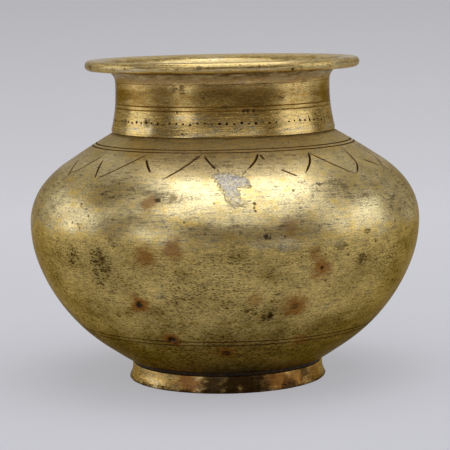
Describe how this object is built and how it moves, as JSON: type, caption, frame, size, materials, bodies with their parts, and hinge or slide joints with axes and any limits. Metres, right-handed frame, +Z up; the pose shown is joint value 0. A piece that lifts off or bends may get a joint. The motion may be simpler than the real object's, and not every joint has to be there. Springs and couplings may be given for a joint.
{
  "type": "lota water pot",
  "caption": "Round-bellied brass water pot with a turned neck, a flared rim and a brazed foot ring; stands on its foot and holds or pours liquid.",
  "frame": {"origin": "on the ground at the centre of the foot", "axes": "+Z up along the pot's axis of turning; -Y faces the side with the solder patch, +X to the right of that side"},
  "size_m": [0.14, 0.14, 0.115],
  "materials": {
    "belly_brass": "old polished cast brass, lathe-turned, worn and patinated",
    "neck_brass": "old polished brass, bright-turned, with olive patina",
    "foot_brass": "turned brass with reddish brown oxide",
    "spelter": "dull oxidised brazing spelter",
    "pin_iron": "rusted iron, filed flush",
    "soft_solder": "dull grey wiped lead-tin solder"
  },
  "bodies": {
    "root": {"foot_ring": "foot_brass", "foot_braze": "spelter", "belly_shell": "belly_brass", "core_pins": "pin_iron", "neck_braze": "spelter", "neck_collar": "neck_brass", "solder_patch": "soft_solder"}
  },
  "joints": []
}
